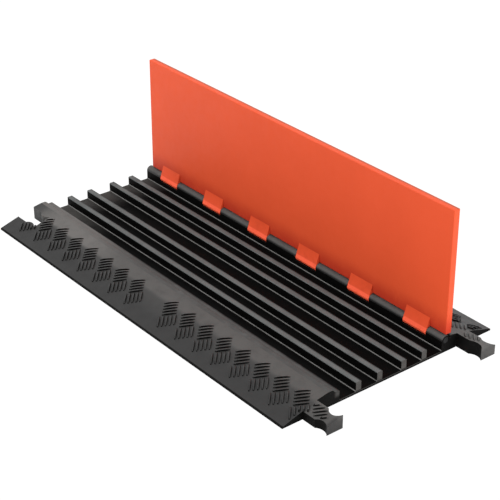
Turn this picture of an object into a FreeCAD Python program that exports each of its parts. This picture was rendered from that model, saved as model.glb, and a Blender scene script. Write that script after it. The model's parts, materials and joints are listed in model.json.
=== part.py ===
"""Cable protector ramp with a hinged lid, as a parametric FreeCAD document.

The row frame has +X along the run of the cables, +Y towards the hinge side and
+Z up.  Its origin is the centre of the base's underside.  The lid is modelled
standing open, square to the base, which is its rest position.
"""
import FreeCAD, Part
import math
import os
import re
import Sketcher

# Driving dimensions in millimetres: alias, size, what it measures.
DIMENSIONS = [
    ("base_length", 914.4, "base along the cables, between its joining ends"),
    ("base_width", 501.65, "base across the cables, from toe to toe"),
    ("floor_thickness", 5.0, "floor of the channels"),
    ("rib_height", 24.0, "rib tops and lid ledge above the underside"),
    ("rib_thickness", 12.0, "ribs between the channels"),
    ("centre_channel", 46.0, "width of the middle channel"),
    ("side_channel", 38.0, "width of each of the other four channels"),
    ("ledge_width", 10.0, "ledge that the closed lid's free edge lies on"),
    ("bevel_run", 6.0, "bevel from the ledge up to the front crest"),
    ("crest_width", 11.0, "flat top of the front crest"),
    ("crest_rise", 6.5, "both crests above the rib tops"),
    ("upper_run", 28.0, "gentle stretch of a ramp below its crest"),
    ("upper_drop", 5.0, "fall of the gentle stretch"),
    ("toe_height", 3.5, "blunt outer edge of a ramp"),
    ("barrel_radius", 9.5, "outside of the hinge knuckles"),
    ("crest_gap", 2.5, "groove between the hinge barrel and the rear crest"),
    ("rear_crest_width", 5.5, "flat top of the rear crest"),
    ("seat_gap", 0.3, "play between the closed lid and the rib tops"),
    ("rod_radius", 4.0, "hinge rod"),
    ("rod_play", 0.05, "radial running clearance around the rod"),
    ("plug_radius", 6.0, "plugs that close the rod's bore"),
    ("plug_depth", 6.0, "depth of a plug"),
    ("plug_play", 0.05, "clearance around a plug and at the rod's ends"),
    ("knuckle_width", 60.0, "each of the lid's knuckles"),
    ("knuckle_play", 1.0, "end clearance of a lid knuckle in its notch"),
    ("cradle_play", 1.0, "radial clearance of a lid knuckle in its notch"),
    ("lip_drop", 7.5, "front lip of a notch below the hinge axis"),
    ("web_rise", 29.0, "web of a lid knuckle above the hinge axis"),
    ("lid_thickness", 14.0, "lid plate"),
    ("lid_inset", 5.0, "lid shorter than the base, at each end"),
    ("hinge_shift", 4.0, "lid and its knuckles off centre, towards the tongues"),
    ("lid_gap", 1.0, "lid plate's lower edge above the hinge barrels"),
    ("lid_edge_gap", 4.0, "closed lid's free edge short of the bevel"),
    ("tongue_length", 61.0, "joining tongue beyond the base end"),
    ("tongue_width", 36.0, "tongue at its tip, and the socket that takes it"),
    ("waist_width", 24.0, "socket at its waist"),
    ("neck_length", 31.0, "straight stretch of a tongue"),
    ("neck_inset", 5.0, "neck narrower than the tip, on a tongue's rear side"),
    ("rear_waist", 9.0, "depth of the waist on a tongue's rear side"),
    ("socket_play", 1.0, "clearance of a tongue in the next unit's socket"),
    ("front_joint", 38.0, "front tongues and sockets, outward of the crest"),
    ("rear_joint", 29.0, "rear tongues and sockets, outward of the crest"),
    ("rib_round", 1.5, "rounds on the rib tops, ledge and toes"),
    ("root_round", 2.5, "fillets at the foot of ribs and walls"),
    ("ramp_round", 8.0, "blends where a ramp's slope changes"),
    ("lid_round", 1.5, "rounds on the lid plate's edges"),
    ("rod_bevel", 0.6, "bevels on the ends of the rod and plugs"),
]
KNUCKLES = 6

# Places worked out from the driving dimensions.
WALL = "(centre_channel / 2 + 2 * rib_thickness + 2 * side_channel)"
LEDGE_END = f"({WALL} + ledge_width)"
CREST_START = f"({LEDGE_END} + bevel_run)"
CREST_END = f"({CREST_START} + crest_width)"
RAMP_BREAK = f"({CREST_END} + upper_run)"
CREST_HEIGHT = "(rib_height + crest_rise)"
BREAK_HEIGHT = f"({CREST_HEIGHT} - upper_drop)"
AXIS_ACROSS = f"({WALL} + barrel_radius)"
AXIS_HEIGHT = "(rib_height + seat_gap)"
BARREL_BACK = f"({AXIS_ACROSS} + barrel_radius)"
REAR_CREST = f"({BARREL_BACK} + crest_gap)"
REAR_CREST_END = f"({REAR_CREST} + rear_crest_width)"
REAR_BREAK = f"({REAR_CREST_END} + upper_run)"
KNUCKLE_PITCH = f"(base_length / {KNUCKLES})"
LID_FOOT = f"({AXIS_HEIGHT} + barrel_radius + lid_gap)"
LID_TOP = f"({AXIS_HEIGHT} + {AXIS_ACROSS} + {LEDGE_END} - lid_edge_gap)"
FRONT_JOINT = f"(-{CREST_END} - front_joint)"
REAR_JOINT = f"({REAR_CREST_END} + rear_joint)"
BASE_END = "(base_length / 2)"
CUT_MARGIN = "10"

document = FreeCAD.newDocument("cable_protector_ramp")
sheet = document.addObject("Spreadsheet::Sheet", "sizes")
for row, (alias, size, meaning) in enumerate(DIMENSIONS, start=1):
    sheet.set(f"A{row}", meaning)
    sheet.set(f"B{row}", str(size))
    sheet.setAlias(f"B{row}", alias)
document.recompute()
ALIASES = {alias for alias, size, meaning in DIMENSIONS}


def bound(text):
    """Return an expression whose names point at the sheet's cells."""
    return re.sub(r"[a-z_]+", lambda name: f"sizes.{name[0]}" if name[0] in ALIASES else name[0], text)


def value(text):
    """Return the number that an expression of the sheet's names gives now."""
    return float(sheet.evalExpression(bound(text)))


def add_body(name):
    """Add a body whose label names its piece."""
    body = document.addObject("PartDesign::Body", name)
    body.Label = name
    return body


def origin_part(body, role):
    """Return the body's own plane or axis of that role."""
    return next(item for item in body.Origin.OriginFeatures if item.Role == role)


def add_sketch(body, name, plane, offset="0"):
    """Add a sketch on one of the body's planes, moved along its normal."""
    sketch = body.newObject("Sketcher::SketchObject", name)
    sketch.AttachmentSupport = [(origin_part(body, plane), "")]
    sketch.MapMode = "FlatFace"
    sketch.setExpression(".AttachmentOffset.Base.z", bound(offset))
    return sketch


def bind(sketch, kind, geometry, vertex, text):
    """Hold one coordinate of a point at an expression's value."""
    rule = Sketcher.Constraint(kind, -1, 1, geometry, vertex, value(text))
    index = sketch.addConstraint(rule)
    sketch.setExpression(f"Constraints[{index}]", bound(text))


def draw_arc(sketch, start, end, centre_texts, turns_left):
    """Draw an arc from start to end, and return its geometry and end vertices."""
    centre = FreeCAD.Vector(value(centre_texts[0]), value(centre_texts[1]), 0)
    first, last = (start, end) if turns_left else (end, start)
    angles = [math.atan2(spot.y - centre.y, spot.x - centre.x) for spot in (first, last)]
    circle = Part.Circle(centre, FreeCAD.Vector(0, 0, 1), start.distanceToPoint(centre))
    geometry = sketch.addGeometry(Part.ArcOfCircle(circle, *angles))
    bind(sketch, "DistanceY", geometry, 3, centre_texts[1])
    return (geometry, 1, 2) if turns_left else (geometry, 2, 1)


def draw_outline(sketch, corners, arcs=None):
    """Draw a closed outline.

    corners are pairs of expressions.  arcs holds, for the number of the corner
    that an arc starts from, its centre and whether it turns left.
    """
    arcs = arcs or {}
    spots = [FreeCAD.Vector(value(along), value(up), 0) for along, up in corners]
    stretches = []
    for number, start in enumerate(spots):
        end = spots[(number + 1) % len(spots)]
        if number in arcs:
            stretches.append(draw_arc(sketch, start, end, *arcs[number]))
        else:
            stretches.append((sketch.addGeometry(Part.LineSegment(start, end)), 1, 2))
    for number, (geometry, first, last) in enumerate(stretches):
        following = stretches[(number + 1) % len(stretches)]
        sketch.addConstraint(Sketcher.Constraint("Coincident", geometry, last, following[0], following[1]))
        bind(sketch, "DistanceX", geometry, first, corners[number][0])
        bind(sketch, "DistanceY", geometry, first, corners[number][1])


def draw_circle(sketch, across, height, radius):
    """Draw a circle whose centre and radius follow the sheet."""
    centre = FreeCAD.Vector(value(across), value(height), 0)
    geometry = sketch.addGeometry(Part.Circle(centre, FreeCAD.Vector(0, 0, 1), value(radius)))
    bind(sketch, "DistanceX", geometry, 3, across)
    bind(sketch, "DistanceY", geometry, 3, height)
    index = sketch.addConstraint(Sketcher.Constraint("Radius", geometry, value(radius)))
    sketch.setExpression(f"Constraints[{index}]", bound(radius))


def extrude(body, kind, name, sketch, length, backwards=False):
    """Add a Pad or a Pocket, and check that it added or removed material."""
    before = body.Shape.Volume if body.Tip else 0.0
    feature = body.newObject(f"PartDesign::{kind}", name)
    feature.Profile = sketch
    feature.setExpression("Length", bound(length))
    feature.Reversed = backwards
    document.recompute()
    change = feature.Shape.Volume - before
    if change * (1 if kind == "Pad" else -1) <= 0:
        raise RuntimeError(f"{name} changed the volume by {change:.1f}")
    return feature


def repeat_along(body, name, feature):
    """Repeat a feature at each of the lid's knuckles."""
    pattern = body.newObject("PartDesign::LinearPattern", name)
    pattern.Originals = [feature]
    pattern.Direction = (origin_part(body, "X_Axis"), [""])
    pattern.setExpression("Length", bound(f"{KNUCKLES - 1} * {KNUCKLE_PITCH}"))
    pattern.Occurrences = KNUCKLES
    body.Tip = pattern
    document.recompute()


def mirror_ends(body, name, feature):
    """Repeat a feature at the other end of the body."""
    mirrored = body.newObject("PartDesign::Mirrored", name)
    mirrored.Originals = [feature]
    mirrored.MirrorPlane = (origin_part(body, "YZ_Plane"), [""])
    body.Tip = mirrored
    document.recompute()


def finish_edges(body, kind, name, size, chosen):
    """Round or bevel the edges of the body's tip for which chosen says yes."""
    base = body.Tip
    names = [f"Edge{number}" for number, edge in enumerate(base.Shape.Edges, start=1) if chosen(edge)]
    if not names:
        raise RuntimeError(f"{name} found no edge")
    feature = body.newObject(f"PartDesign::{kind}", name)
    feature.Base = (base, names)
    feature.setExpression("Radius" if kind == "Fillet" else "Size", bound(size))
    document.recompute()


def near(first, second):
    """Say whether two lengths agree to a hundredth of a millimetre."""
    return abs(first - second) < 0.01


def runs_along_x(edge, places):
    """Say whether an edge is straight, along X, and at one of the places."""
    start, end = edge.Vertexes[0].Point, edge.Vertexes[-1].Point
    if near(start.x, end.x) or not (near(start.y, end.y) and near(start.z, end.z)):
        return False
    return any(near(start.y, across) and near(start.z, height) for across, height in places)


def spots(*texts):
    """Return places across and up as numbers."""
    return [(value(across), value(height)) for across, height in texts]


def base_section():
    """Return the corners of the base's section, from the front toe to the rear one."""
    corners = [
        ("-base_width / 2", "0"),
        ("-base_width / 2", "toe_height"),
        (f"-{RAMP_BREAK}", BREAK_HEIGHT),
        (f"-{CREST_END}", CREST_HEIGHT),
        (f"-{CREST_START}", CREST_HEIGHT),
        (f"-{LEDGE_END}", "rib_height"),
        (f"-{WALL}", "rib_height"),
        (f"-{WALL}", "floor_thickness"),
    ]
    for face in rib_faces():
        corners += [(face, "floor_thickness"), (face, "rib_height")]
        if rib_faces().index(face) % 2:
            corners[-2:] = reversed(corners[-2:])
    corners += [
        (WALL, "floor_thickness"),
        (WALL, AXIS_HEIGHT),
        (BARREL_BACK, AXIS_HEIGHT),
        (REAR_CREST, AXIS_HEIGHT),
        (REAR_CREST, CREST_HEIGHT),
        (REAR_CREST_END, CREST_HEIGHT),
        (REAR_BREAK, BREAK_HEIGHT),
        ("base_width / 2", "toe_height"),
        ("base_width / 2", "0"),
    ]
    return corners


def rib_faces():
    """Return the places across of the ribs' faces, from the front to the rear."""
    inner = "(centre_channel / 2)"
    rear = [
        inner,
        f"({inner} + rib_thickness)",
        f"({inner} + rib_thickness + side_channel)",
        f"({inner} + 2 * rib_thickness + side_channel)",
    ]
    return [f"-{face}" for face in reversed(rear)] + rear


def joint_side(end, side, outwards, play="0"):
    """Return the corners along one side of a joint, and the centre of its waist's arc.

    outwards is "+" or "-", the way across from the joint's middle to that side.
    """
    half_chord = "((tongue_length - neck_length) / 2)"
    depth = "((tongue_width - waist_width) / 2)"
    lift = f"(({half_chord} ^ 2 - {depth} ^ 2) / (2 * {depth}))"
    line = f"{side} {outwards} {play}"
    corners = [(f"{end} + neck_length", line), (f"{end} + tongue_length", line)]
    return corners, (f"{end} + neck_length + {half_chord}", f"{line} {outwards} {lift}")


def inset_side(side):
    """Return the same for a tongue's rear side, which is set in along the neck."""
    run = "(tongue_length - neck_length)"
    chord = f"(({run} ^ 2 + neck_inset ^ 2) ^ 0.5)"
    lift = f"(({chord} ^ 2 / 4 - rear_waist ^ 2) / (2 * rear_waist))"
    corners = [
        (f"{BASE_END} + neck_length", f"{side} - neck_inset"),
        (f"{BASE_END} + tongue_length", side),
    ]
    along = f"{BASE_END} + neck_length + {run} / 2 - neck_inset * {lift} / {chord}"
    return corners, (along, f"{side} - neck_inset / 2 + {run} * {lift} / {chord}")


def end_strip(low, high):
    """Return the outline of a strip past the base end, between two tongue sides.

    low and high are the strip's two edges across: the side of a tongue, or None
    where the strip runs out past the base's own edge.
    """
    past = f"{BASE_END} + tongue_length + {CUT_MARGIN}"
    arcs = {}
    if low:
        corners, centre = inset_side(low)
        corners = [(BASE_END, f"{low} - neck_inset")] + corners + [(past, low)]
        arcs[1] = (centre, True)
    else:
        edge = f"-base_width / 2 - {CUT_MARGIN}"
        corners = [(BASE_END, edge), (past, edge)]
    if high:
        side_corners, centre = joint_side(BASE_END, high, "-")
        arcs[len(corners) + 1] = (centre, True)
        corners += [(past, high)] + side_corners[::-1] + [(BASE_END, high)]
    else:
        edge = f"base_width / 2 + {CUT_MARGIN}"
        corners += [(past, edge), (BASE_END, edge)]
    return corners, arcs


def socket_outline(middle):
    """Return the outline of the socket that takes a tongue with play all round."""
    end = f"-{BASE_END}"
    low, high = f"{middle} - tongue_width / 2", f"{middle} + tongue_width / 2"
    tip = f"{end} + tongue_length + socket_play"
    low_corners, low_centre = joint_side(end, low, "-", "socket_play")
    high_corners, high_centre = joint_side(end, high, "+", "socket_play")
    low_line, high_line = low_corners[0][1], high_corners[0][1]
    mouth = f"{end} - {CUT_MARGIN}"
    corners = [(mouth, low_line)] + low_corners + [(tip, low_line), (tip, high_line)]
    corners += high_corners[::-1] + [(mouth, high_line)]
    return corners, {1: (low_centre, False), 5: (high_centre, False)}


def make_base():
    """Build the moulded base: ramps, channels, hinge barrels, tongues and sockets."""
    body = add_body("base")
    section = add_sketch(body, "base_section", "YZ_Plane", f"-{BASE_END}")
    corners = base_section()
    barrel_start = corners.index((WALL, AXIS_HEIGHT))
    draw_outline(section, corners, {barrel_start: ((AXIS_ACROSS, AXIS_HEIGHT), False)})
    extrude(body, "Pad", "base_run", section, "base_length + tongue_length")

    roots = spots(*[(face, "floor_thickness") for face in [f"-{WALL}"] + rib_faces() + [WALL]])
    tops = spots(*[(face, "rib_height") for face in [f"-{WALL}"] + rib_faces()])
    toes = spots(("-base_width / 2", "toe_height"), ("base_width / 2", "toe_height"))
    foot = spots((f"-{LEDGE_END}", "rib_height"), (REAR_CREST, CREST_HEIGHT))
    breaks = spots(
        (f"-{RAMP_BREAK}", BREAK_HEIGHT),
        (f"-{CREST_END}", CREST_HEIGHT),
        (f"-{CREST_START}", CREST_HEIGHT),
        (REAR_CREST_END, CREST_HEIGHT),
        (REAR_BREAK, BREAK_HEIGHT),
    )
    finish_edges(body, "Fillet", "root_rounds", "root_round", lambda edge: runs_along_x(edge, roots))
    finish_edges(body, "Fillet", "top_rounds", "rib_round", lambda edge: runs_along_x(edge, tops + toes + foot))
    finish_edges(body, "Fillet", "ramp_rounds", "ramp_round", lambda edge: runs_along_x(edge, breaks))

    half = "tongue_width / 2"
    sides = [None, f"{FRONT_JOINT} - {half}", f"{FRONT_JOINT} + {half}"]
    sides += [f"{REAR_JOINT} - {half}", f"{REAR_JOINT} + {half}", None]
    plan = add_sketch(body, "base_end", "XY_Plane")
    for low, high in zip(sides[::2], sides[1::2]):
        draw_outline(plan, *end_strip(low, high))
    extrude(body, "Pocket", "end_cut", plan, f"{CREST_HEIGHT} + {CUT_MARGIN}", backwards=True)

    for side, middle in (("front", FRONT_JOINT), ("rear", REAR_JOINT)):
        plan = add_sketch(body, f"{side}_socket_plan", "XY_Plane")
        draw_outline(plan, *socket_outline(middle))
        extrude(body, "Pocket", f"{side}_socket", plan, f"{CREST_HEIGHT} + {CUT_MARGIN}", backwards=True)

    notch_width = "(knuckle_width + 2 * knuckle_play)"
    first_notch = f"hinge_shift - ({KNUCKLES - 1} * {KNUCKLE_PITCH} + {notch_width}) / 2"
    notch = add_sketch(body, "notch_section", "YZ_Plane", first_notch)
    cradle = "(barrel_radius + cradle_play)"
    lip, back = f"{AXIS_HEIGHT} - lip_drop", f"{AXIS_ACROSS} + {cradle}"
    reach = f"({cradle} ^ 2 - lip_drop ^ 2) ^ 0.5"
    above = f"{CREST_HEIGHT} + {CUT_MARGIN}"
    corners = [
        (f"{WALL} - {CUT_MARGIN}", lip),
        (f"{AXIS_ACROSS} - {reach}", lip),
        (back, AXIS_HEIGHT),
        (back, above),
        (f"{WALL} - {CUT_MARGIN}", above),
    ]
    draw_outline(notch, corners, {1: ((AXIS_ACROSS, AXIS_HEIGHT), True)})
    cut = extrude(body, "Pocket", "notch", notch, notch_width, backwards=True)
    repeat_along(body, "notches", cut)

    bore = add_sketch(body, "bore_section", "YZ_Plane", f"-{BASE_END} - {CUT_MARGIN}")
    draw_circle(bore, AXIS_ACROSS, AXIS_HEIGHT, "rod_radius + rod_play")
    extrude(body, "Pocket", "rod_bore", bore, f"base_length + 2 * {CUT_MARGIN}", backwards=True)
    seat = add_sketch(body, "plug_seat_section", "YZ_Plane", f"-{BASE_END}")
    draw_circle(seat, AXIS_ACROSS, AXIS_HEIGHT, "plug_radius + plug_play")
    cut = extrude(body, "Pocket", "plug_seat", seat, "plug_depth", backwards=True)
    mirror_ends(body, "plug_seats", cut)
    return body


def make_lid():
    """Build the lid: a flat plate with knuckles that turn on the hinge rod."""
    body = add_body("lid")
    lid_length = "(base_length - 2 * lid_inset)"
    back = f"{AXIS_ACROSS} + lid_thickness"
    plate = add_sketch(body, "plate_section", "YZ_Plane", f"hinge_shift - {lid_length} / 2")
    draw_outline(plate, [(AXIS_ACROSS, LID_FOOT), (back, LID_FOOT), (back, LID_TOP), (AXIS_ACROSS, LID_TOP)])
    extrude(body, "Pad", "plate", plate, lid_length)
    finish_edges(body, "Fillet", "plate_rounds", "lid_round", lambda edge: True)

    first_knuckle = f"hinge_shift - ({KNUCKLES - 1} * {KNUCKLE_PITCH} + knuckle_width) / 2"
    knuckle = add_sketch(body, "knuckle_section", "YZ_Plane", first_knuckle)
    web_top = f"{AXIS_HEIGHT} + web_rise"
    corners = [
        (WALL, AXIS_HEIGHT),
        (BARREL_BACK, AXIS_HEIGHT),
        (BARREL_BACK, web_top),
        (AXIS_ACROSS, web_top),
    ]
    draw_outline(knuckle, corners, {0: ((AXIS_ACROSS, AXIS_HEIGHT), True)})
    repeat_along(body, "knuckles", extrude(body, "Pad", "knuckle", knuckle, "knuckle_width"))

    bore = add_sketch(body, "lid_bore_section", "YZ_Plane", f"-{BASE_END}")
    draw_circle(bore, AXIS_ACROSS, AXIS_HEIGHT, "rod_radius + rod_play")
    extrude(body, "Pocket", "lid_bore", bore, "base_length", backwards=True)
    return body


def make_pin(name, radius, start, length):
    """Build a round pin on the hinge axis with bevelled ends."""
    body = add_body(name)
    section = add_sketch(body, f"{name}_section", "YZ_Plane", start)
    draw_circle(section, AXIS_ACROSS, AXIS_HEIGHT, radius)
    extrude(body, "Pad", f"{name}_run", section, length)
    finish_edges(body, "Chamfer", f"{name}_bevels", "rod_bevel", lambda edge: len(edge.Vertexes) == 1)
    return body


def make_rod_and_plugs():
    """Build the hinge rod and the two plugs that keep it in its bore."""
    plug_length = "(plug_depth - plug_play)"
    rod_end = f"({BASE_END} - plug_depth - plug_play)"
    return [
        make_pin("hinge_rod", "rod_radius", f"-{rod_end}", f"2 * {rod_end}"),
        make_pin("rod_plug_left", "plug_radius", f"-{BASE_END}", plug_length),
        make_pin("rod_plug_right", "plug_radius", f"{BASE_END} - {plug_length}", plug_length),
    ]


def check_document():
    """Stop if any object of the document failed."""
    document.recompute()
    for item in document.Objects:
        if "Invalid" in item.State or "Error" in item.State:
            raise RuntimeError(f"{item.Name} failed: {item.State}")


def write_pieces(bodies):
    """Check each piece's shape and write it under its label."""
    os.makedirs("parts", exist_ok=True)
    for body in bodies:
        shape = body.Shape
        if shape.isNull() or not shape.isValid() or len(shape.Solids) != 1:
            raise RuntimeError(f"{body.Label} isn't one valid solid")
        shape.exportStep(f"parts/{body.Label}.step")
        box = shape.BoundBox
        print(f"{body.Label}: {shape.Volume / 1000:.1f} cm3, {box.XLength:.2f} x {box.YLength:.2f} x {box.ZLength:.2f}")


pieces = [make_base(), make_lid(), *make_rod_and_plugs()]
check_document()
write_pieces(pieces)
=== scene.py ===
"""Looks of a cable protector ramp with a hinged lid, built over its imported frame.

Sizes are in metres, but a zone is in millimetres.  +X runs along the cables,
+Y towards the hinge and +Z up.  The lid stands open, which is its rest place.
"""
import json
import logging
import math
from collections.abc import Mapping
from dataclasses import dataclass, field
from enum import Enum

import bmesh
import bpy
from mathutils import Euler, Matrix, Vector


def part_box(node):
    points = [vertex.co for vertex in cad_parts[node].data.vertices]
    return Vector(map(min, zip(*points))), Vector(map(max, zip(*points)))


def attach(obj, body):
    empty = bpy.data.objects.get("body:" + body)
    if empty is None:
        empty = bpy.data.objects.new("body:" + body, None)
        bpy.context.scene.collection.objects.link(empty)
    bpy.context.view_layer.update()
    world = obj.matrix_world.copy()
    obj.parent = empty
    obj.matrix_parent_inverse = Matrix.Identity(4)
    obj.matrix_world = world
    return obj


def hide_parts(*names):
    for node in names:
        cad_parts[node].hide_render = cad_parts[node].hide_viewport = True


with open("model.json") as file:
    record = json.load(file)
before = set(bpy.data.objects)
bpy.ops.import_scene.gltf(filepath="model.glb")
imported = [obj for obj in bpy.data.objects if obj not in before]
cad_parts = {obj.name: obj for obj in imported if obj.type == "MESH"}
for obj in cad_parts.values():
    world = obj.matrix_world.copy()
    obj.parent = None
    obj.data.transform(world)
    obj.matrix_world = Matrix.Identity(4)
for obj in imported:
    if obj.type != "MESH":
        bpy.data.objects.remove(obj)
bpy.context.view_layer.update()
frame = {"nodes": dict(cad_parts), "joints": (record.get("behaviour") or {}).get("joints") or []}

MM = 0.001
UP = (0.0, 0.0, 1.0)
DOWN = (0.0, 0.0, -1.0)
LOG = logging.getLogger("ramp")

Triple = tuple[float, float, float]
Socket = bpy.types.NodeSocket
Sockets = bpy.types.bpy_prop_collection
Term = float | bpy.types.NodeSocket


class Part(Enum):
    """The rigid bodies that pieces ride on."""

    BASE = "base"
    LID = "lid"


class Lean(Enum):
    """Which way the bars of a tread cluster run across the ramp, in degrees."""

    RISING = 45.0
    FALLING = -45.0

    def mirrored(self) -> "Lean":
        """Return the other lean."""
        return Lean(-self.value)


@dataclass(frozen=True)
class Wiring:
    """A node tree that is being wired, with short ways to add its nodes."""

    tree: bpy.types.NodeTree

    def node(self, kind: str, inputs: Mapping[str | int, object], **options: object) -> bpy.types.Node:
        """Add a node, set its options and fill or link its inputs.

        Args:
            kind: The node's type.
            inputs: For an input's name or number, a value or a socket to link.
            options: The node's own options.

        Returns:
            The new node.
        """
        node = self.tree.nodes.new(kind)
        for name, option in options.items():
            setattr(node, name, option)
        for key, given in inputs.items():
            if isinstance(given, Socket):
                self.tree.links.new(given, node.inputs[key])
            else:
                node.inputs[key].default_value = given
        return node

    def add(
        self,
        kind: str,
        inputs: Mapping[str | int, object] | None = None,
        output: str | int = 0,
        **options: object,
    ) -> Socket:
        """Add a node of which one output is wanted.

        Args:
            kind: The node's type.
            inputs: As for a node.
            output: The wanted output's name or number.
            options: The node's own options.

        Returns:
            The wanted output.
        """
        return self.node(kind, inputs or {}, **options).outputs[output]

    def maths(self, operation: str, *terms: Term) -> Socket:
        """Return the result of a maths operation on numbers or sockets."""
        return self.add("ShaderNodeMath", dict(enumerate(terms)), operation=operation)

    def plus(self, first: Term, second: Term) -> Socket:
        """Return the sum of two terms."""
        return self.maths("ADD", first, second)

    def minus(self, first: Term, second: Term) -> Socket:
        """Return the first term less the second."""
        return self.maths("SUBTRACT", first, second)

    def times(self, first: Term, second: Term) -> Socket:
        """Return the product of two terms."""
        return self.maths("MULTIPLY", first, second)

    def vector(self, x: Term = 0.0, y: Term = 0.0, z: Term = 0.0) -> Socket:
        """Return the vector of three terms."""
        return self.add("ShaderNodeCombineXYZ", {"X": x, "Y": y, "Z": z})

    def parts(self, vector: Socket) -> Sockets:
        """Return a vector's parts, by the names of the axes."""
        return self.node("ShaderNodeSeparateXYZ", {0: vector}).outputs

    def scaled(self, way: Socket, length: Term) -> Socket:
        """Return a way with another length."""
        return self.add("ShaderNodeVectorMath", {0: way, "Scale": length}, operation="SCALE")

    def moved(self, place: Socket, way: Socket, length: Term) -> Socket:
        """Return the place moved by a length along a way."""
        return self.add("ShaderNodeVectorMath", {0: place, 1: self.scaled(way, length)}, operation="ADD")

    def stretched(self, place: Socket, scale: Triple) -> Socket:
        """Return the place scaled along each axis."""
        return self.add("ShaderNodeMapping", {"Vector": place, "Scale": scale})

    def mapped(self, reading: Socket, start: float, end: float, low: float, high: float) -> Socket:
        """Return a number that goes evenly from low to high.

        Args:
            reading: The socket that is measured.
            start: The reading at which the result is low.
            end: The reading at which it is high.
            low: The result before the start.
            high: The result past the end.

        Returns:
            The result's socket.
        """
        wanted = {"Value": reading, "From Min": start, "From Max": end, "To Min": low, "To Max": high}
        return self.add("ShaderNodeMapRange", wanted)

    def eased(self, reading: Socket, start: float, end: float) -> Socket:
        """Return a mask that rises softly from nothing at start to one at end.

        Args:
            reading: The socket that is measured.
            start: The reading at which the mask is nothing.
            end: The reading at which it is one.

        Returns:
            The mask's socket.
        """
        wanted = {"Value": reading, "From Min": start, "From Max": end}
        return self.add("ShaderNodeMapRange", wanted, interpolation_type="SMOOTHSTEP")

    def between(self, share: Term, first: Term, second: Term) -> Socket:
        """Return a number between two terms, by the share of the second."""
        return self.add("ShaderNodeMix", {0: share, 2: first, 3: second}, data_type="FLOAT")

    def blended(self, share: Term, first: Triple | Socket, second: Triple | Socket) -> Socket:
        """Mix two colours by a share.

        Args:
            share: How much of the second colour shows.
            first: A colour or its socket.
            second: A colour or its socket.

        Returns:
            The mixed colour's socket.
        """
        wanted: dict[str | int, object] = {"Factor": share}
        for key, colour in ((6, first), (7, second)):
            wanted[key] = colour if isinstance(colour, Socket) else (*colour, 1.0)
        return self.add("ShaderNodeMix", wanted, 2, data_type="RGBA")

    def bump(self, height: Socket, distance: float, strength: float, **under: Socket) -> Socket:
        """Return the normal of a bump, over the Normal that is given or the plain one."""
        wanted = {"Height": height, "Distance": distance, "Strength": strength}
        return self.add("ShaderNodeBump", {**wanted, **under})


def blank_material(name: str) -> tuple[bpy.types.Material, Wiring]:
    """Make a material with an empty node tree.

    Args:
        name: The material's name.

    Returns:
        The material and the wiring of its tree.
    """
    material = bpy.data.materials.new(name)
    material.use_nodes = True
    material.node_tree.nodes.clear()
    return material, Wiring(material.node_tree)


@dataclass(frozen=True)
class Noise:
    """A cloudy pattern: its scale, how many octaves it has and how rough they are."""

    scale: float
    detail: float
    roughness: float

    def over(self, wiring: Wiring, place: Socket) -> Socket:
        """Return the pattern's value at a place."""
        wanted = {"Vector": place, "Scale": self.scale, "Detail": self.detail, "Roughness": self.roughness}
        return wiring.add("ShaderNodeTexNoise", wanted)


@dataclass(frozen=True)
class MouldedFinish:
    """A satin moulded polyurethane, mottled a little and rubbed in places."""

    name: str
    deep: Triple
    pale: Triple
    scuffed: Triple
    roughness_low: float
    roughness_high: float
    specular: float
    mottle: Noise = Noise(14.0, 5.0, 0.6)
    grain: Noise = Noise(900.0, 2.0, 0.5)
    grain_height: float = 0.05 * MM
    grain_strength: float = 0.5
    ripple: Noise = Noise(60.0, 3.0, 0.5)
    ripple_height: float = 0.12 * MM
    ripple_strength: float = 0.6
    ripple_ends: tuple[float, float] = (0.3, 0.7)
    scuffs: Noise = Noise(75.0, 6.0, 0.75)
    scuff_stretch: Triple = (1.0, 0.35, 1.0)
    scuff_ends: tuple[float, float] = (0.58, 0.72)
    scuff_amount: float = 0.35

    def build(self) -> bpy.types.Material:
        """Make the material.

        Returns:
            The material, which reads Object coordinates only.
        """
        material, wiring = blank_material(self.name)
        place = wiring.add("ShaderNodeTexCoord", output="Object")
        ripple = self.ripple.over(wiring, place)
        streaks = self.scuffs.over(wiring, wiring.stretched(place, self.scuff_stretch))
        rubbed_and_painted_sheen = wiring.mapped(streaks, *self.scuff_ends, 0.0, self.scuff_amount)
        colour = wiring.blended(self.mottle.over(wiring, place), self.deep, self.pale)
        colour = wiring.blended(rubbed_and_painted_sheen, colour, self.scuffed)
        roughness = wiring.mapped(ripple, *self.ripple_ends, self.roughness_low, self.roughness_high)
        colour, roughness = self.wear_and_painted_light(wiring, place, colour, roughness)
        soft = wiring.bump(ripple, self.ripple_height, self.ripple_strength)
        grain = self.grain.over(wiring, place)
        fine = wiring.bump(grain, self.grain_height, self.grain_strength, Normal=soft)
        wanted = {"Base Color": colour, "Roughness": roughness, "Normal": fine}
        shader = wiring.add("ShaderNodeBsdfPrincipled", {**wanted, "Specular IOR Level": self.specular})
        wiring.node("ShaderNodeOutputMaterial", {"Surface": shader})
        return material

    def wear_and_painted_light(self, wiring: Wiring, place: Socket, colour: Socket, roughness: Socket) -> tuple[Socket, Socket]:
        """Return the colour and roughness with the marks laid on; here there are none, so they stay."""
        return colour, roughness


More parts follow.
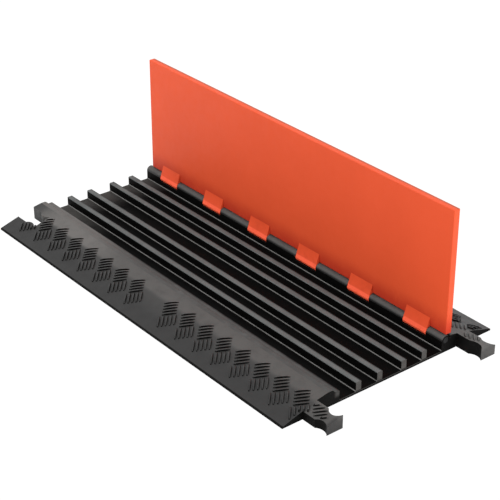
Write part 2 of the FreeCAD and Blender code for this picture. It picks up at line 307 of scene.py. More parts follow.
@dataclass(frozen=True)
class Zone:
    """A part of a moulding by its height and its places across and along, in millimetres."""

    low: float
    high: float
    front: float
    rear: float
    fade: float = 0.5
    left: float = -1000.0
    right: float = 1000.0
    long_fade: float = 15.0
    beyond: float = 0.0
    ends: bool = False
    least_square: float = 0.7

    def holds(self, face: bpy.types.MeshPolygon) -> bool:
        """Return whether a face lies inside the zone.

        Args:
            face: A face of a moulding.

        Returns:
            True if its middle is inside, and it stands across the run where
            the zone is for the ends, or along it where the zone isn't.
        """
        spot = face.center / MM
        inside = self.low < spot.z < self.high and self.front < spot.y < self.rear
        return inside and abs(spot.x) >= self.beyond and (abs(face.normal.x) > self.least_square) == self.ends

    def mask(self, wiring: Wiring, place: Socket) -> Socket:
        """Return a mask that is one inside the zone and fades at its limits.

        Args:
            wiring: The wiring of the material's tree.
            place: The socket of the Object coordinates.

        Returns:
            The mask's socket.
        """
        parts = wiring.parts(place)
        mask: Term = 1.0
        for axis, low, high, fade in (
            ("Z", self.low, self.high, self.fade),
            ("Y", self.front, self.rear, self.fade),
            ("X", self.left, self.right, self.long_fade),
        ):
            for limit, inwards in ((low, fade), (high, -fade)):
                limited = wiring.eased(parts[axis], (limit - inwards) * MM, (limit + inwards) * MM)
                mask = wiring.times(mask, limited)
        return mask


@dataclass(frozen=True)
class Mark:
    """A zone given another colour, and its share; most marks are painted light or shade."""

    zone: Zone
    share: float
    colour: Triple = (0.100, 0.096, 0.091)


@dataclass(frozen=True)
class MarkedFinish(MouldedFinish):
    """A moulded finish with marks, each laid over those before it."""

    marks: tuple[Mark, ...] = ()
    marked_roughness: float = 0.70
    patches: Noise = Noise(32.0, 5.0, 0.7)
    patch_full: float = 0.58

    def wear_and_painted_light(self, wiring: Wiring, place: Socket, colour: Socket, roughness: Socket) -> tuple[Socket, Socket]:
        """Lay the marks, most of them painted light or shade, over the plain finish.

        Args:
            wiring: The wiring of the material's tree.
            place: The socket of the Object coordinates.
            colour: The colour without marks.
            roughness: The roughness without marks.

        Returns:
            The colour and roughness with the marks.
        """
        patch = wiring.eased(self.patches.over(wiring, place), 0.0, self.patch_full)
        for mark in self.marks:
            painted_light_and_wear = wiring.times(wiring.times(mark.zone.mask(wiring, place), mark.share), patch)
            colour = wiring.blended(painted_light_and_wear, colour, mark.colour)
            roughness = wiring.between(painted_light_and_wear, roughness, self.marked_roughness)
        return colour, roughness


@dataclass(frozen=True)
class SteelFinish:
    """Bright drawn steel with fine lengthwise lines."""

    name: str = "drawn_steel"
    colour: Triple = (0.42, 0.41, 0.39)
    roughness_low: float = 0.24
    roughness_high: float = 0.44
    lines: Noise = Noise(2500.0, 2.0, 0.5)
    drawn_out: Triple = (0.03, 1.0, 1.0)
    line_height: float = 0.02 * MM
    line_strength: float = 0.4

    def build(self) -> bpy.types.Material:
        """Make the material.

        Returns:
            The material, which reads Object coordinates only.
        """
        material, wiring = blank_material(self.name)
        place = wiring.add("ShaderNodeTexCoord", output="Object")
        lines = self.lines.over(wiring, wiring.stretched(place, self.drawn_out))
        roughness = wiring.mapped(lines, 0.0, 1.0, self.roughness_low, self.roughness_high)
        bump = wiring.bump(lines, self.line_height, self.line_strength)
        wanted = {"Base Color": (*self.colour, 1.0), "Metallic": 1.0, "Roughness": roughness, "Normal": bump}
        shader = wiring.add("ShaderNodeBsdfPrincipled", wanted)
        wiring.node("ShaderNodeOutputMaterial", {"Surface": shader})
        return material


SHADED = (0.008, 0.008, 0.008)
# Where the shade on the tops of the ribs starts, and how far back it goes, in millimetres.
RIB_BACKS = (-75.5, -25.5, 32.5, 82.5)
RIB_SHADE = 5.5
BLACK = MarkedFinish(
    name="black_polyurethane",
    deep=(0.0030, 0.0029, 0.0028),
    pale=(0.0065, 0.0062, 0.0060),
    scuffed=(0.022, 0.021, 0.020),
    roughness_low=0.42,
    roughness_high=0.54,
    specular=0.38,
    marks=(
        # Painted light: the soft change of tone half-way up the front ramp, paler on the flatter upper slope.
        Mark(Zone(-40.0, 80.0, -205.0, -150.0, 22.0, left=-400.0), 0.16),
        # Painted light on the upper front ramp, paler still on its left stretch.
        Mark(Zone(20.0, 45.0, -180.0, -140.0, 6.0, left=-425.0), 0.48),
        Mark(
            Zone(20.0, 45.0, -180.0, -145.0, 4.0, left=-410.0, right=-200.0, long_fade=60.0),
            0.45,
            (0.150, 0.142, 0.135),
        ),
        # Painted light on the top of the front tongue.
        Mark(Zone(-5.0, 45.0, -215.0, -155.0, 3.0, left=462.0, right=513.0, long_fade=4.0), 0.40),
        # Painted light on the upper rear ramp, then on the rear tongue with the ramp beside it.
        Mark(Zone(20.0, 45.0, 145.0, 180.0, 4.0), 0.50),
        Mark(Zone(-5.0, 45.0, 152.0, 205.0, 3.0, left=440.0, long_fade=25.0), 0.45),
        # Painted highlights on the tops of the hinge barrels.
        Mark(Zone(28.5, 40.0, 122.0, 143.0, 2.5), 0.55),
    ),
)
# A darker, duller copy of the black: painted shade on the base's ends, the tongues' sides and the strip along
# the front toe.
PAINTED_SHADE_BLACK = MarkedFinish(
    name="end_polyurethane",
    deep=(0.0026, 0.0025, 0.0024),
    pale=(0.0060, 0.0058, 0.0056),
    scuffed=(0.016, 0.015, 0.014),
    roughness_low=0.50,
    roughness_high=0.62,
    specular=0.04,
    marks=(
        # Painted light on the ends of the ribs and of the ledge, and a painted highlight on the upper edge of
        # the floor's end.
        Mark(Zone(6.5, 25.0, -88.0, 88.0), 0.65),
        Mark(Zone(3.4, 5.6, -123.0, 123.0, 0.4), 0.30),
        Mark(Zone(14.0, 25.0, -133.0, -123.0, 4.0), 0.50),
    ),
)
# A paler copy of the black: painted sheen on the tops of the ribs, the crest and the ledge, with scuffs over
# it.
PAINTED_SHEEN = MarkedFinish(
    name="rubbed_polyurethane",
    deep=(0.058, 0.062, 0.062),
    pale=(0.139, 0.148, 0.147),
    scuffed=(0.175, 0.180, 0.178),
    roughness_low=0.62,
    roughness_high=0.78,
    specular=0.12,
    mottle=Noise(26.0, 5.0, 0.6),
    marks=(
        # Painted sheen on the front crest and the ledge: weaker than on the ribs, darker at the left tip,
        # then paler.
        Mark(Zone(22.0, 34.0, -152.0, -120.0), 0.62, (0.036, 0.034, 0.032)),
        Mark(Zone(22.0, 34.0, -152.0, -120.0, right=-425.0), 0.60, (0.016, 0.016, 0.016)),
        Mark(
            Zone(20.0, 36.0, -156.0, -120.0, 2.0, right=-215.0, long_fade=130.0),
            0.75,
            (0.135, 0.129, 0.123),
        ),
        # The rear edges of the ledge and of the ribs, which lie in shade.
        Mark(Zone(20.0, 28.0, -126.0, -118.0, 3.0, left=-200.0, long_fade=120.0), 1.0, SHADED),
        *(Mark(Zone(20.0, 28.0, back, back + RIB_SHADE, 2.0), 0.9, SHADED) for back in RIB_BACKS),
    ),
)
# A darker, duller copy of the black: painted shade on the floors and walls of the channels and on the sides
# of the tread bars.
CHANNEL_SHADE = MarkedFinish(
    name="channel_polyurethane",
    deep=(0.0018, 0.0017, 0.0017),
    pale=(0.0034, 0.0032, 0.0031),
    scuffed=(0.009, 0.008, 0.008),
    roughness_low=0.50,
    roughness_high=0.62,
    specular=0.03,
    marks=(
        # Painted highlights: the light lines along the rounds at the roots of the ribs.
        Mark(Zone(5.6, 7.1, -123.5, 123.5, 0.35), 1.0, (0.210, 0.205, 0.198)),
        # Painted light on the floor at the left end, longer in the first channel than in the others.
        Mark(
            Zone(4.0, 5.8, -125.0, -84.0, 0.3, right=-360.0, long_fade=90.0),
            0.7,
            (0.080, 0.076, 0.072),
        ),
        Mark(
            Zone(4.0, 5.8, -84.0, 125.0, 0.3, right=-410.0, long_fade=40.0),
            0.7,
            (0.070, 0.065, 0.062),
        ),
    ),
)
ORANGE = MarkedFinish(
    name="orange_polyurethane",
    deep=(0.63, 0.070, 0.020),
    pale=(0.70, 0.082, 0.025),
    scuffed=(0.74, 0.105, 0.040),
    roughness_low=0.46,
    roughness_high=0.60,
    specular=0.18,
    scuff_amount=0.18,
    marks=(
        # Painted shade on the foot of the plate, next to the black base.
        Mark(Zone(0.0, 58.0, 80.0, 200.0, 24.0), 0.78, (0.40, 0.018, 0.008)),
        # Painted light on the knuckles with their webs, then a brighter painted highlight on their lower
        # half.
        Mark(Zone(0.0, 80.0, 100.0, 132.2, 0.2), 0.90, (0.80, 0.088, 0.028)),
        Mark(Zone(-10.0, 31.5, 100.0, 132.2, 1.2), 0.95, (1.00, 0.130, 0.060)),
        # The brown rear edge of the plate's top.
        Mark(Zone(284.9, 290.0, 141.0, 160.0, 0.6), 0.60, (0.24, 0.075, 0.038)),
    ),
    marked_roughness=0.55,
)
PLUG = MouldedFinish(
    name="black_nylon",
    deep=(0.006, 0.006, 0.006),
    pale=(0.012, 0.012, 0.012),
    scuffed=(0.030, 0.030, 0.030),
    roughness_low=0.42,
    roughness_high=0.54,
    specular=0.3,
)


def linked_object(name: str, data: bpy.types.ID) -> bpy.types.Object:
    """Put an object into the scene, at the origin.

    Args:
        name: The object's name.
        data: Its mesh, lamp or lens.

    Returns:
        The new object.
    """
    piece = bpy.data.objects.new(name, data)
    bpy.context.scene.collection.objects.link(piece)
    return piece


def settled(piece: bpy.types.Object) -> bpy.types.Object:
    """Turn a piece's modifiers into plain mesh.

    Args:
        piece: An object whose modifiers are to be applied.

    Returns:
        The same object, with the evaluated mesh and no modifier.
    """
    bpy.context.view_layer.update()
    result = piece.evaluated_get(bpy.context.evaluated_depsgraph_get())
    mesh = bpy.data.meshes.new_from_object(result)
    mesh.name = piece.name
    piece.modifiers.clear()
    piece.data = mesh
    return piece


@dataclass
class Moulding:
    """One moulding: its frame shape, with the small rounds that a mould leaves."""

    node: str
    part: Part
    slot: str
    finish: bpy.types.Material
    zones: list[tuple[Zone, bpy.types.Material]] = field(default_factory=list)
    cuts: list[tuple[Vector, Vector]] = field(default_factory=list)
    edge_round: float = 0.5 * MM
    round_steps: int = 2
    weld_distance: float = 0.002 * MM
    flat_angle: float = math.radians(0.2)
    sharp_angle: float = math.radians(24.0)
    shortest_edge: float = 2.5 * MM
    smooth_angle: float = math.radians(32.0)
    flat_weight: int = 100
    piece: bpy.types.Object | None = None

    def build(self) -> bpy.types.Object:
        """Make the moulding's mesh from the frame's shape.

        Returns:
            The new object, which stands for the frame's node.
        """
        name = f"{self.node}_moulding"
        mesh = frame["nodes"][self.node].data.copy()
        mesh.name = name
        self._forget_normals(mesh)
        self._clean(mesh)
        self.piece = linked_object(name, mesh)
        self._round_edges()
        return self.piece

    def dress(self) -> None:
        """Give the moulding its finishes and its place on the frame."""
        finishes = list(dict.fromkeys([self.finish, *(finish for zone, finish in self.zones)]))
        self.piece.data.materials.clear()
        for finish in finishes:
            self.piece.data.materials.append(finish)
        for face in self.piece.data.polygons:
            face.material_index = finishes.index(self._finish_of(face))
        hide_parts(self.node)
        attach(self.piece, self.part.value)
        LOG.info("%s: %d faces", self.piece.name, len(self.piece.data.polygons))

    def _clean(self, mesh: bpy.types.Mesh) -> None:
        """Join the loose triangles into faces, weight the edges and make the cuts.

        Args:
            mesh: The mesh to change.
        """
        shape = bmesh.new()
        shape.from_mesh(mesh)
        bmesh.ops.remove_doubles(shape, verts=shape.verts, dist=self.weld_distance)
        bmesh.ops.dissolve_limit(
            shape,
            angle_limit=self.flat_angle,
            use_dissolve_boundaries=False,
            verts=shape.verts,
            edges=shape.edges,
            delimit={"NORMAL"},
        )
        self._mark_edges(shape)
        for place, way in self.cuts:
            whole = [*shape.verts, *shape.edges, *shape.faces]
            bmesh.ops.bisect_plane(shape, geom=whole, plane_co=place, plane_no=way)
        shape.to_mesh(mesh)
        shape.free()

    def _mark_edges(self, shape: bmesh.types.BMesh) -> None:
        """Give each long sharp outer or inner edge a bevel weight.

        Args:
            shape: The shape that has the edges.
        """
        weights = shape.edges.layers.float.new("bevel_weight_edge")
        for edge in shape.edges:
            if len(edge.link_faces) != 2:
                continue
            if edge.calc_length() > self.shortest_edge and edge.calc_face_angle() > self.sharp_angle:
                edge[weights] = 1.0

    def _round_edges(self) -> None:
        """Round the weighted edges, and keep the flat faces flat in the light."""
        bevel = self.piece.modifiers.new("mould_rounds", "BEVEL")
        bevel.limit_method = "WEIGHT"
        bevel.width = self.edge_round
        bevel.segments = self.round_steps
        bevel.use_clamp_overlap = True
        bevel.miter_outer = "MITER_ARC"
        settled(self.piece)
        self._forget_normals(self.piece.data)
        self.piece.data.shade_smooth()
        self.piece.data.set_sharp_from_angle(angle=self.smooth_angle)
        level = self.piece.modifiers.new("flat_faces", "WEIGHTED_NORMAL")
        level.weight = self.flat_weight
        level.keep_sharp = True
        settled(self.piece)

    def _forget_normals(self, mesh: bpy.types.Mesh) -> None:
        """Drop the normals that came with the mesh."""
        if "custom_normal" in mesh.attributes:
            mesh.attributes.remove(mesh.attributes["custom_normal"])

    def _finish_of(self, face: bpy.types.MeshPolygon) -> bpy.types.Material:
        """Return the finish of the first zone that holds a face, or else the main one."""
        return next((finish for zone, finish in self.zones if zone.holds(face)), self.finish)


@dataclass(frozen=True)
class TreadWiring(Wiring):
    """The wiring of a tread's tree, which sets out the bars and lays them on a surface.

    The draws and drafts are the share of a bar's size that is gone at its end
    or top, and their powers say how late that happens.
    """

    given: Sockets
    target: Socket
    probes: int = 6
    probe_reach: float = 0.56
    probe_half_width: float = 0.8
    flat_enough: float = 0.9
    shortest: float = 0.4
    ray_length: float = 1.0
    block_vertices: tuple[int, int, int] = (6, 3, 3)
    side_draft: float = 0.28
    end_draft: float = 0.07
    draft_power: float = 2.5
    end_draw: float = 0.45
    end_power: float = 6.0
    side_facing: float = 0.5

    def wire(self) -> None:
        """Wire the whole tree, from the clusters to the dressed bars."""
        kept = self._trimmed(self._bar_middles())
        least = self.minus(1.0, self.given["Wear"])
        wear_and_painted_light = self.add(
            "FunctionNodeRandomValue",
            {2: least, 3: 1.0, "Seed": self.given["Seed"]},
            1,
            data_type="FLOAT",
        )
        size = self.vector(self._stored_number("share"), 1.0, wear_and_painted_light)
        wanted = {"Points": kept, "Instance": self._one_bar(), "Rotation": self._turn(), "Scale": size}
        bars = self._laid(self._realised(self.add("GeometryNodeInstanceOnPoints", wanted)))
        smooth = self.add("GeometryNodeSetShadeSmooth", {0: bars})
        dressed = self.add("GeometryNodeSetMaterial", {"Geometry": smooth, "Material": self.given["Finish"]})
        # Painted shade: the bar sides that face along Y take the side shade finish, which on the base is the
        # channel's dark one.
        facing = self.parts(self.add("GeometryNodeInputNormal"))["Y"]
        sides = self.maths("GREATER_THAN", self.maths("ABSOLUTE", facing), self.side_facing)
        wanted = {"Geometry": dressed, "Selection": sides, "Material": self.given["Side Finish"]}
        self.node("NodeGroupOutput", {0: self.add("GeometryNodeSetMaterial", wanted)})

    def _stored_number(self, name: str) -> Socket:
        """Return the number that the points hold under a name."""
        return self.add("GeometryNodeInputNamedAttribute", {"Name": name}, data_type="FLOAT")

    def _with_number(self, points: Socket, name: str, number: Socket) -> Socket:
        """Return the points with a number stored under a name."""
        wanted = {"Geometry": points, "Name": name, "Value": number}
        return self.add("GeometryNodeStoreNamedAttribute", wanted, data_type="FLOAT", domain="POINT")

    def _position(self) -> Socket:
        """Return each point's place."""
        return self.add("GeometryNodeInputPosition")

    def _turn(self) -> Socket:
        """Return the turn that each point's lean asks for."""
        return self.vector(z=self._stored_number("lean"))

    def _realised(self, instances: Socket) -> Socket:
        """Return instances as plain geometry."""
        return self.add("GeometryNodeRealizeInstances", {0: instances})

    def _ray(self, start: Socket) -> Sockets:
        """Return what a ray straight down from a start finds of the surface."""
        wanted = {"Target Geometry": self.target, "Source Position": start, "Ray Direction": DOWN}
        return self.node("GeometryNodeRaycast", {**wanted, "Ray Length": self.ray_length}).outputs

    def _bar_middles(self) -> Socket:
        """Set out the middles of all bars.

        Returns:
            The points: a row of them on each cluster, turned by its lean.
        """
        bars = self.given["Bars"]
        pitch = self.given["Bar Pitch"]
        start = self.times(self.times(self.minus(bars, 1.0), pitch), -0.5)
        wanted = {"Count": bars, "Start Location": self.vector(y=start), "Offset": self.vector(y=pitch)}
        row = self.add("GeometryNodeMeshLine", wanted)
        wanted = {"Points": self.given["Clusters"], "Instance": row, "Rotation": self._turn()}
        return self._realised(self.add("GeometryNodeInstanceOnPoints", wanted))

    def _trimmed(self, middles: Socket) -> Socket:
        """Cut each bar to the share of it that lies on the surface.

        A bar that would run past an edge is cut short: its middle moves back and
        its share drops.  One with too little left is taken out.

        Args:
            middles: The bars' middles.

        Returns:
            The middles that are left, with their share and the ground's height.
        """
        lean = self._stored_number("lean")
        way = self.vector(self.maths("COSINE", lean), self.maths("SINE", lean))
        back, ahead = (self._reach(way, side) for side in (-1.0, 1.0))
        marked = self._with_number(middles, "share", self.plus(back, ahead))
        shift = self.times(self.times(self.minus(ahead, back), 0.5), self.given["Bar Length"])
        moved = self.add("GeometryNodeSetPosition", {"Geometry": marked, "Offset": self.scaled(way, shift)})
        ground = self.parts(self._ray(self._position())["Hit Position"])["Z"]
        grounded = self._with_number(moved, "ground", ground)
        stub = self.maths("LESS_THAN", self._stored_number("share"), self.shortest)
        wanted = {"Geometry": grounded, "Selection": stub}
        return self.add("GeometryNodeDeleteGeometry", wanted, domain="POINT")

    def _reach(self, way: Socket, side: float) -> Socket:
        """Measure how much of a bar lies on the surface on one side of its middle.

        Args:
            way: The way in which the bar runs.
            side: Minus one for its back half, or one for its front half.

        Returns:
            The share of the bar's length, up to a half.
        """
        place = self._position()
        square = self.add("ShaderNodeVectorMath", {0: way, 1: UP}, operation="CROSS_PRODUCT")
        reach: Term = 0.0
        for number in range(1, self.probes + 1):
            share = side * self.probe_reach * number / self.probes
            spot = self.moved(place, way, self.times(self.given["Bar Length"], share))
            flat: Term = 1.0
            for edge in (-self.probe_half_width, self.probe_half_width):
                ray = self._ray(self.moved(spot, square, self.times(self.given["Bar Width"], edge)))
                upright = self.parts(ray["Hit Normal"])["Z"]
                flat = self.times(flat, self.maths("GREATER_THAN", upright, self.flat_enough))
                flat = self.times(flat, ray["Is Hit"])
            reach = self.plus(reach, self.times(flat, 0.5 / self.probes))
        return reach

    def _one_bar(self) -> Socket:
        """Shape one bar with drafted sides and drawn-in ends.

        Returns:
            The bar along X, with its foot sunk a little below zero.
        """
        length = self.given["Bar Length"]
        height = self.given["Bar Height"]
        size = self.vector(length, self.given["Bar Width"], height)
        counts = {f"Vertices {axis}": count for axis, count in zip("XYZ", self.block_vertices)}
        block = self.add("GeometryNodeMeshCube", {"Size": size, **counts})
        place = self.parts(self._position())
        up = self.plus(self.maths("DIVIDE", place["Z"], height), 0.5)
        late_up = self.maths("POWER", up, self.draft_power)
        out = self.maths("ABSOLUTE", self.maths("DIVIDE", place["X"], self.times(length, 0.5)))
        late_out = self.maths("POWER", out, self.end_power)
        narrowed = self.minus(1.0, self.times(late_up, self.side_draft))
        drawn = self.minus(1.0, self.times(late_out, self.end_draw))
        shortened = self.minus(1.0, self.times(late_up, self.end_draft))
        crown = self.minus(1.0, self.times(self.minus(1.0, drawn), up))
        along = self.times(place["X"], shortened)
        across = self.times(self.times(place["Y"], narrowed), drawn)
        rise = self.minus(self.times(self.times(up, height), crown), self.given["Sunk"])
        shape = self.vector(along, across, rise)
        return self.add("GeometryNodeSetPosition", {"Geometry": block, "Position": shape})

    def _laid(self, bars: Socket) -> Socket:
        """Move every point of the bars down onto the surface.

        Args:
            bars: The bars, at the start height.

        Returns:
            The bars, lying on the surface.
        """
        place = self.parts(self._position())
        start = self.given["Start Height"]
        ray = self._ray(self.vector(place["X"], place["Y"], start))
        found = self.parts(ray["Hit Position"])["Z"]
        wanted = {"Switch": ray["Is Hit"], "False": self._stored_number("ground"), "True": found}
        ground = self.add("GeometryNodeSwitch", wanted, input_type="FLOAT")
        landed = self.vector(place["X"], place["Y"], self.plus(ground, self.minus(place["Z"], start)))
        return self.add("GeometryNodeSetPosition", {"Geometry": bars, "Position": landed})


@dataclass(frozen=True)
class Cluster:
    """One cluster of tread bars: where its middle lies and how its bars lean."""

    along: float
    across: float
    lean: Lean


@dataclass
class TreadBars:
    """Raised tread bars that lie on a moulding in clusters of five."""

    name: str
    part: Part
    slot: str
    finish: bpy.types.Material
    # The finish of the bar sides that face along Y; on the base it paints shade on them.
    side_shade_finish: bpy.types.Material
    surface: bpy.types.Object
    clusters: list[Cluster]
    turned_up: Matrix = field(default_factory=Matrix)
    bar_length: float = 28.0 * MM
    bar_width: float = 3.8 * MM
    bar_height: float = 3.7 * MM
    bar_pitch: float = 7.7 * MM
    bars: int = 5
    sunk: float = 0.6 * MM
    painted_light_and_wear: float = 0.12
    seed: int = 7
    start_height: float = 80.0 * MM
    piece: bpy.types.Object | None = None

    def build(self) -> bpy.types.Object:
        """Lay the bars on the surface and make them one mesh.

        Returns:
            The new object.
        """
        mesh = bpy.data.meshes.new(self.name)
        mesh.from_pydata([(spot.along, spot.across, self.start_height) for spot in self.clusters], [], [])
        lean = mesh.attributes.new("lean", "FLOAT", "POINT")
        lean.data.foreach_set("value", [math.radians(spot.lean.value) for spot in self.clusters])
        self.piece = linked_object(self.name, mesh)
        settings = self._settings()
        tree, sockets = self._tree({label: kind for label, (kind, given) in settings.items()})
        modifier = self.piece.modifiers.new("tread", "NODES")
        modifier.node_group = tree
        for label, (kind, given) in settings.items():
            modifier[sockets[label]] = given
        settled(self.piece)
        self.piece.data.transform(self.turned_up)
        return self.piece

    def dress(self) -> None:
        """Give the bars their place on the frame."""
        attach(self.piece, self.part.value)
        LOG.info("%s: %d faces", self.piece.name, len(self.piece.data.polygons))

    def _settings(self) -> dict[str, tuple[str, object]]:
        """List the tree's named inputs.

        Returns:
            For each input's name, its socket's type and what is put into it.
        """
        return {
            "Surface": ("NodeSocketObject", self.surface),
            "Bar Length": ("NodeSocketFloat", self.bar_length),
            "Bar Width": ("NodeSocketFloat", self.bar_width),
            "Bar Height": ("NodeSocketFloat", self.bar_height),
            "Bar Pitch": ("NodeSocketFloat", self.bar_pitch),
            "Bars": ("NodeSocketInt", self.bars),
            "Sunk": ("NodeSocketFloat", self.sunk),
            "Wear": ("NodeSocketFloat", self.painted_light_and_wear),
            "Seed": ("NodeSocketInt", self.seed),
            "Start Height": ("NodeSocketFloat", self.start_height),
            "Finish": ("NodeSocketMaterial", self.finish),
            "Side Finish": ("NodeSocketMaterial", self.side_shade_finish),
        }

    def _tree(self, kinds: dict[str, str]) -> tuple[bpy.types.NodeTree, dict[str, str]]:
        """Make the node tree.

        Args:
            kinds: The socket type of each named input.

        Returns:
            The tree, and the identifier of each named input.
        """
        tree = bpy.data.node_groups.new(f"{self.name}_tree", "GeometryNodeTree")
        tree.interface.new_socket(name="Clusters", in_out="INPUT", socket_type="NodeSocketGeometry")
        sockets = {
            label: tree.interface.new_socket(name=label, in_out="INPUT", socket_type=kind).identifier
            for label, kind in kinds.items()
        }
        tree.interface.new_socket(name="Bars", in_out="OUTPUT", socket_type="NodeSocketGeometry")
        wiring = Wiring(tree)
        given = wiring.node("NodeGroupInput", {}).outputs
        target = wiring.add("GeometryNodeObjectInfo", {"Object": given["Surface"]}, "Geometry")
        TreadWiring(tree, given, target).wire()
        return tree, sockets


@dataclass(frozen=True)
class TreadRow:
    """One row of clusters along a ramp: where it starts, how far out it lies and its lean in front."""

    first: float
    out: float
    lean: Lean


@dataclass
class RampTread:
    """Where the tread clusters of the two ramps and the tongues lie."""

    step: float = 54.0 * MM
    count: int = 17
    rows: tuple[TreadRow, ...] = (
        TreadRow(-432.0 * MM, 186.5 * MM, Lean.RISING),
        TreadRow(-410.0 * MM, 211.5 * MM, Lean.FALLING),
    )
    tongue_along: float = 483.0 * MM
    front_tongue_across: float = -188.5 * MM
    rear_tongue_across: float = 178.5 * MM
    bare_from: float = -30.0 * MM
    bare_to: float = 28.0 * MM

    def clusters(self) -> list[Cluster]:
        """List every cluster of both ramps and of the tongues.

        Returns:
            The clusters, front ramp first, with the rear one as its mirror image.
        """
        found = []
        for row in self.rows:
            for along in self._places(row):
                if not self.bare_from < along < self.bare_to:
                    found.append(Cluster(along, -row.out, row.lean))
        for row in self.rows:
            found += [Cluster(along, row.out, row.lean.mirrored()) for along in self._places(row)]
        found.append(Cluster(self.tongue_along, self.front_tongue_across, Lean.RISING))
        found.append(Cluster(self.tongue_along, self.rear_tongue_across, Lean.FALLING))
        return found

    def _places(self, row: TreadRow) -> list[float]:
        """Return where along the ramp a row's clusters lie."""
        return [row.first + number * self.step for number in range(self.count)]


@dataclass
class LidTread:
    """Where the tread clusters of the lid's outer face lie, with the lid shut."""

    low: Vector
    high: Vector
    step: float = 46.0 * MM
    margin: float = 24.0 * MM

    def clusters(self) -> list[Cluster]:
        """List the clusters, leaning by turns, evenly over the face.

        Returns:
            The clusters, row by row.
        """
        spans = [self.high[axis] - self.low[axis] - 2 * self.margin for axis in (0, 1)]
        columns, rows = (int(span / self.step) for span in spans)
        left = (self.low.x + self.high.x - columns * self.step) / 2
        front = (self.low.y + self.high.y - rows * self.step) / 2
        return [
            Cluster(
                left + column * self.step,
                front + row * self.step,
                Lean.RISING if (column + row) % 2 else Lean.FALLING,
            )
            for row in range(rows + 1)
            for column in range(columns + 1)
        ]


@dataclass
class Base:
    """The black moulded base with its tread, rod and plugs.

    The painted shade along the front toe is given in millimetres, as the zones are.
    """

    black: bpy.types.Material
    # Besides the black, one finish paints sheen on the tops, and two paint shade: in the channels, and on the
    # ends, the tongues' sides and the toe.
    rubbed_and_painted_sheen: bpy.types.Material
    channel_shade: bpy.types.Material
    steel: bpy.types.Material
    plug: bpy.types.Material
    end: bpy.types.Material
    channels: Zone = Zone(4.0, 22.4, -124.0, 124.0)
    tops: Zone = Zone(22.4, 32.0, -149.8, 90.0)
    tongue_sides: Zone = Zone(1.0, 22.0, -207.0, 198.0, beyond=457.3)
    tongue_tips: Zone = Zone(0.5, 40.0, -251.0, 251.0, beyond=517.0, ends=True)
    base_ends: Zone = Zone(0.5, 40.0, -251.0, 251.0, beyond=457.0, ends=True)
    toe_low: float = 0.5
    toe_high: float = 10.0
    toe_depth: float = 2.2
    toe_margin: float = 5.0

    def build(self) -> None:
        """Build the base's pieces and dress them."""
        # The strip along the front toe is cut off so that it can take painted shade.
        toe_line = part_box("base")[0][1] / MM + self.toe_depth
        moulding = Moulding(
            "base",
            Part.BASE,
            "black_moulding",
            self.black,
            zones=self._zones(toe_line),
            cuts=[(Vector((0.0, toe_line * MM, 0.0)), Vector((0.0, 1.0, 0.0)))],
        )
        tread = TreadBars(
            "base_tread",
            Part.BASE,
            "black_moulding",
            self.black,
            self.channel_shade,
            moulding.build(),
            RampTread().clusters(),
        )
        tread.build()
        moulding.dress()
        tread.dress()
        self._dress_pin("hinge_rod", self.steel)
        self._dress_pin("rod_plug_left", self.plug)
        self._dress_pin("rod_plug_right", self.plug)

    def _zones(self, toe_line: float) -> list[tuple[Zone, bpy.types.Material]]:
        """List the zones that have a finish of their own.

        Args:
            toe_line: How far the painted shade along the front toe goes back, in millimetres.

        Returns:
            Each zone with its finish; the first one that holds a face counts.
        """
        toe = Zone(self.toe_low, self.toe_high, toe_line - self.toe_margin, toe_line)
        # The channels, the toe strip, the tongues' sides and the ends take painted shade, and the tops
        # painted sheen.
        return [
            (self.channels, self.channel_shade),
            (self.tops, self.rubbed_and_painted_sheen),
            (toe, self.end),
            (self.tongue_sides, self.end),
            (self.tongue_tips, self.black),
            (self.base_ends, self.end),
        ]

    def _dress_pin(self, name: str, finish: bpy.types.Material) -> None:
        """Give a round piece of the frame its finish.

        Args:
            name: The piece's node.
            finish: Its finish.
        """
        pin = frame["nodes"][name]
        pin.data.materials.clear()
        pin.data.materials.append(finish)
        LOG.info("%s: %s", name, finish.name)


@dataclass
class Lid:
    """The orange lid, smooth inside and with a tread outside."""

    orange: bpy.types.Material
    shut_angle: float = math.radians(90.0)
    edge_round: float = 0.6 * MM
    bar_height: float = 2.4 * MM
    tread_seed: int = 11
    top_depth: float = 0.2 * MM

    def build(self) -> None:
        """Build the lid's pieces and dress them."""
        moulding = Moulding("lid", Part.LID, "orange_moulding", self.orange, edge_round=self.edge_round)
        moulding.build()
        hinge = Vector(frame["joints"][0]["pos_m"])
        turn = Matrix.Rotation(self.shut_angle, 4, "X")
        shut = Matrix.Translation(hinge) @ turn @ Matrix.Translation(-hinge)
        surface = linked_object("lid_shut", moulding.piece.data.copy())
        surface.data.transform(shut)
        tread = TreadBars(
            "lid_tread",
            Part.LID,
            "orange_moulding",
            self.orange,
            self.orange,
            surface,
            LidTread(*self._plate_corners(surface)).clusters(),
            turned_up=shut.inverted(),
            bar_height=self.bar_height,
            seed=self.tread_seed,
        )
        tread.build()
        bpy.data.objects.remove(surface)
        moulding.dress()
        tread.dress()

    def _plate_corners(self, surface: bpy.types.Object) -> tuple[Vector, Vector]:
        """Find the corners of the shut lid's top face.

        Args:
            surface: The lid, shut.

        Returns:
            The lowest and the highest corner.
        """
        spots = [vertex.co for vertex in surface.data.vertices]
        top = max(spot.z for spot in spots)
        upper = [spot for spot in spots if spot.z > top - self.top_depth]
        low = Vector([min(spot[axis] for spot in upper) for axis in range(3)])
        high = Vector([max(spot[axis] for spot in upper) for axis in range(3)])
        return low, high


@dataclass(frozen=True)
class SoftLight:
    """One soft square lamp aimed at a point."""

    name: str
    place: Triple
    target: Triple
    size: float
    power: float

    def build(self) -> None:
        """Put the lamp into the scene."""
        lamp = bpy.data.lights.new(self.name, "AREA")
        lamp.shape = "SQUARE"
        lamp.size = self.size
        lamp.energy = self.power
        aim = Vector(self.target) - Vector(self.place)
        turn = aim.to_track_quat("-Z", "Y").to_matrix().to_4x4()
        linked_object(self.name, lamp).matrix_world = Matrix.Translation(Vector(self.place)) @ turn


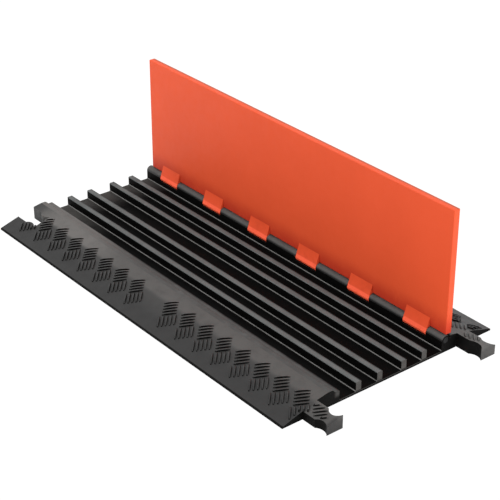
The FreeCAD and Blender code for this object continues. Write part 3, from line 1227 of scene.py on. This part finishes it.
@dataclass
class Studio:
    """A white room: a large pale floor, soft lamps, an even sky and the camera."""

    floor_half: float = 60.0
    floor_bounce: Triple = (0.90, 0.90, 0.90)
    seen_white: float = 1.05
    sky_strength: float = 1.22
    sky_colour: Triple = (1.0, 1.0, 1.0)
    camera_place: Triple = (2.03406, -1.58620, 1.46722)
    camera_heading: float = 2.46485
    camera_pitch: float = -0.49936
    camera_lens: float = 108.60
    camera_sensor: float = 36.0
    camera_far: float = 200.0
    lamps: tuple[SoftLight, ...] = (
        SoftLight("overhead", (-0.3, -0.9, 2.6), (0.0, 0.1, 0.1), 1.4, 14.0),
        SoftLight("front_left", (-1.5, -1.9, 1.6), (-0.2, 0.1, 0.2), 1.2, 8.0),
        SoftLight("right_end", (2.6, 1.0, 0.7), (0.4, 0.0, 0.1), 1.0, 24.0),
    )

    def build(self) -> None:
        """Make the floor, the lamps, the sky and the camera."""
        self._floor()
        for lamp in self.lamps:
            lamp.build()
        self._sky()
        self._camera()
        bpy.context.scene.view_settings.view_transform = "Standard"

    def _floor(self) -> None:
        """Make the floor as a staged plane under the object."""
        half = self.floor_half
        mesh = bpy.data.meshes.new("studio_floor")
        corners = [(-half, -half, 0), (half, -half, 0), (half, half, 0), (-half, half, 0)]
        mesh.from_pydata(corners, [], [(0, 1, 2, 3)])
        floor = linked_object("studio_floor", mesh)
        paper, wiring = blank_material("studio_paper")
        seen = wiring.add("ShaderNodeLightPath", output="Is Camera Ray")
        bounce = wiring.add("ShaderNodeBsdfDiffuse", {"Color": (*self.floor_bounce, 1.0)})
        white = wiring.add("ShaderNodeEmission", {"Strength": self.seen_white})
        surface = wiring.add("ShaderNodeMixShader", {0: seen, 1: bounce, 2: white})
        wiring.node("ShaderNodeOutputMaterial", {"Surface": surface})
        mesh.materials.append(paper)

    def _sky(self) -> None:
        """Make the even white sky, which looks as white as the floor."""
        world = bpy.data.worlds.new("studio_sky")
        world.use_nodes = True
        world.node_tree.nodes.clear()
        wiring = Wiring(world.node_tree)
        seen = wiring.add("ShaderNodeLightPath", output="Is Camera Ray")
        strength = wiring.between(seen, self.sky_strength, self.seen_white)
        sky = wiring.add("ShaderNodeBackground", {"Color": (*self.sky_colour, 1.0), "Strength": strength})
        wiring.node("ShaderNodeOutputWorld", {"Surface": sky})
        bpy.context.scene.world = world

    def _camera(self) -> None:
        """Place the camera and make it the scene's."""
        lens = bpy.data.cameras.new("studio_camera")
        lens.lens = self.camera_lens
        lens.sensor_width = self.camera_sensor
        lens.clip_end = self.camera_far
        camera = linked_object("studio_camera", lens)
        turn = Euler((math.pi / 2 + self.camera_pitch, 0.0, self.camera_heading - math.pi / 2))
        camera.matrix_world = Matrix.Translation(Vector(self.camera_place)) @ turn.to_matrix().to_4x4()
        bpy.context.scene.camera = camera


def main() -> None:
    """Build the base, the lid and the studio in order."""
    logging.basicConfig(level=logging.INFO, format="%(name)s: %(message)s")
    base = Base(
        black=BLACK.build(),
        rubbed_and_painted_sheen=PAINTED_SHEEN.build(),
        channel_shade=CHANNEL_SHADE.build(),
        steel=SteelFinish().build(),
        plug=PLUG.build(),
        end=PAINTED_SHADE_BLACK.build(),
    )
    base.build()
    Lid(ORANGE.build()).build()
    Studio().build()


if __name__ == "__main__":
    main()
